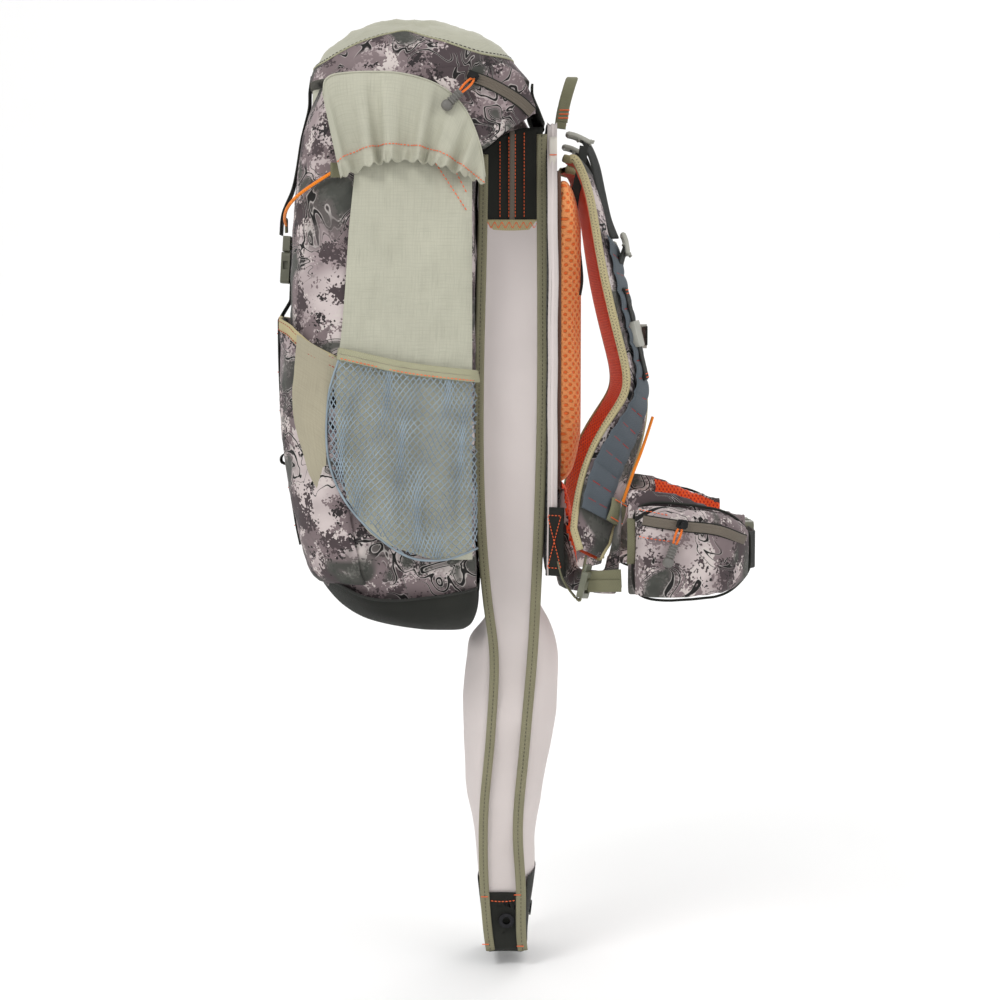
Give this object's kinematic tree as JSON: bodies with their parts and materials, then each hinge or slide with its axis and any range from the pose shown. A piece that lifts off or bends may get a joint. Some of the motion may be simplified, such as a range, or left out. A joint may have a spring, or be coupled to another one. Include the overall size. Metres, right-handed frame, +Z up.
{
  "type": "hunting backpack",
  "caption": "Internal-frame hunting backpack with a domed lid, mesh side pockets, padded harness and hip belt, and a drop-down rifle scabbard against the back.",
  "frame": {"origin": "inside top of the haul loop, where a hook carries the pack", "axes": "+X from the pack towards the wearer's front, +Y to the wearer's left, +Z up"},
  "size_m": [0.4944, 0.4054, 0.9695],
  "materials": {
    "camo_cloth": "printed woven polyester, matt",
    "ripstop_cloth": "sage ripstop with a fine grid, matt",
    "dark_cloth": "black woven nylon, matt",
    "pocket_net": "open knitted net",
    "scabbard_cloth": "plain woven, faint twill",
    "spacer_mesh": "orange knitted spacer mesh",
    "strap_cloth": "foam strap with mesh lining",
    "olive_webbing": "ribbed flat webbing",
    "dark_webbing": "ribbed flat webbing",
    "orange_cord": "braided elastic cord",
    "buckle_plastic": "moulded acetal, fine grain",
    "zip_tape": "woven tape with a nylon coil",
    "zip_slider": "black painted die casting",
    "zip_pull": "grey moulded toggle on orange cord",
    "eyelet_metal": "black rolled brass eyelet",
    "stay_metal": "bare flat bar",
    "sheet_plastic": "sheet polyethylene"
  },
  "bodies": {
    "pack": {"bag_front_panel": "camo_cloth", "bag_back_panel": "dark_cloth", "bag_side_right": "ripstop_cloth", "bag_side_left": "ripstop_cloth", "bag_base": "dark_cloth", "front_stash_pocket": "camo_cloth", "mesh_pocket_right": "pocket_net", "mesh_pocket_left": "pocket_net", "collar": "ripstop_cloth", "collar_drawcord": "orange_cord", "lid_buckle_female": "buckle_plastic", "front_webbing": "dark_webbing", "front_bungee": "orange_cord", "scabbard_cuff": "dark_cloth", "scabbard_sleeve": "scabbard_cloth", "back_panel": "dark_cloth", "frame_sheet": "sheet_plastic", "frame_stays": "stay_metal", "back_pads": "spacer_mesh", "haul_loop": "olive_webbing", "lid_yoke": "dark_cloth", "shoulder_strap_right": "strap_cloth", "shoulder_strap_left": "strap_cloth", "strap_webbing_right": "dark_webbing", "strap_webbing_left": "dark_webbing", "load_lifter_right": "dark_webbing", "load_lifter_left": "dark_webbing", "strap_bungee_right": "orange_cord", "strap_bungee_left": "orange_cord", "belt_core": "camo_cloth", "ladder_locks": "buckle_plastic"},
    "lid": {"lid_shell": "camo_cloth", "lid_skirts": "ripstop_cloth", "lid_strap": "dark_webbing", "lid_zipper": "zip_tape"},
    "lid_zip": {"lid_zip_slider": "zip_slider"},
    "lid_pull": {"lid_zip_pull": "zip_pull"},
    "lid_tongue": {"lid_buckle_male": "buckle_plastic"},
    "cord_button": {"cord_lock_button": "buckle_plastic"},
    "right_wing": {"belt_wing_right": "camo_cloth", "belt_pocket_right": "camo_cloth", "belt_strap_right": "olive_webbing", "belt_buckle_female": "buckle_plastic"},
    "left_wing": {"belt_wing_left": "camo_cloth", "belt_pocket_left": "camo_cloth"},
    "right_zip": {"belt_zip_slider_right": "zip_slider"},
    "right_pull": {"belt_zip_pull_right": "zip_pull"},
    "left_zip": {"belt_zip_slider_left": "zip_slider"},
    "left_pull": {"belt_zip_pull_left": "zip_pull"},
    "belt_tongue": {"belt_buckle_male": "buckle_plastic", "belt_strap_left": "olive_webbing"},
    "sternum_right": {"sternum_slider_right": "buckle_plastic", "sternum_webbing_right": "olive_webbing", "sternum_buckle_female": "buckle_plastic"},
    "sternum_left": {"sternum_slider_left": "buckle_plastic"},
    "sternum_tongue": {"sternum_buckle_male": "buckle_plastic", "sternum_webbing_left": "olive_webbing"},
    "drop": {"scabbard_drop": "scabbard_cloth", "scabbard_boot": "dark_cloth", "scabbard_eyelets": "eyelet_metal"}
  },
  "joints": [
    {"name": "lid_hinge", "type": "hinge", "parent": "pack", "child": "lid", "pos_m": [-0.041, 0, -0.015], "axis": [0, 1, 0], "range_deg": [0, 70]},
    {"name": "lid_zip_slide", "type": "slide", "parent": "lid", "child": "lid_zip", "axis": [0.8944, 0, -0.4472], "range_m": [0, 0.042]},
    {"name": "lid_pull_swing", "type": "hinge", "parent": "lid_zip", "child": "lid_pull", "pos_m": [-0.102, -0.1668, -0.016], "axis": [0, -1, 0], "range_deg": [-40, 60]},
    {"name": "lid_buckle_release", "type": "slide", "parent": "pack", "child": "lid_tongue", "axis": [0.0599, 0, 0.9982], "range_m": [0, 0.022]},
    {"name": "cord_lock_press", "type": "slide", "parent": "pack", "child": "cord_button", "axis": [-1, 0, 0], "range_m": [0, 0.0035], "stiffness_N_per_m": 400, "springref_m": -0.003},
    {"name": "right_wing_fold", "type": "hinge", "parent": "pack", "child": "right_wing", "pos_m": [0.044, -0.157, -0.465], "axis": [0, 0, -1], "range_deg": [0, 60]},
    {"name": "left_wing_fold", "type": "hinge", "parent": "pack", "child": "left_wing", "pos_m": [0.044, 0.157, -0.465], "axis": [0, 0, 1], "range_deg": [0, 60]},
    {"name": "right_zip_slide", "type": "slide", "parent": "right_wing", "child": "right_zip", "axis": [0.9867, 0.0974, -0.1298], "range_m": [0, 0.034]},
    {"name": "right_pull_swing", "type": "hinge", "parent": "right_zip", "child": "right_pull", "pos_m": [0.09887, -0.1958, -0.444], "axis": [0.0982, -0.9952, 0], "range_deg": [-50, 50]},
    {"name": "left_zip_slide", "type": "slide", "parent": "left_wing", "child": "left_zip", "axis": [0.9867, -0.0974, -0.1298], "range_m": [0, 0.034]},
    {"name": "left_pull_swing", "type": "hinge", "parent": "left_zip", "child": "left_pull", "pos_m": [0.09887, 0.1958, -0.444], "axis": [-0.0982, -0.9952, 0], "range_deg": [-50, 50]},
    {"name": "belt_buckle_release", "type": "slide", "parent": "right_wing", "child": "belt_tongue", "axis": [0, 1, 0], "range_m": [0, 0.028]},
    {"name": "sternum_height_right", "type": "slide", "parent": "pack", "child": "sternum_right", "axis": [0.2334, 0, -0.9724], "range_m": [-0.024, 0.024]},
    {"name": "sternum_height_left", "type": "slide", "parent": "pack", "child": "sternum_left", "axis": [0.2334, 0, -0.9724], "range_m": [-0.024, 0.024]},
    {"name": "sternum_buckle_release", "type": "slide", "parent": "sternum_left", "child": "sternum_tongue", "axis": [0, 1, 0], "range_m": [0, 0.018]},
    {"name": "scabbard_drop_swing", "type": "hinge", "parent": "pack", "child": "drop", "pos_m": [-0.062, 0, -0.535], "axis": [0, 1, 0], "range_deg": [-12, 12]}
  ],
  "couplings": [
    {"joint": "sternum_height_left", "follows": "sternum_height_right", "ratio": 1}
  ]
}
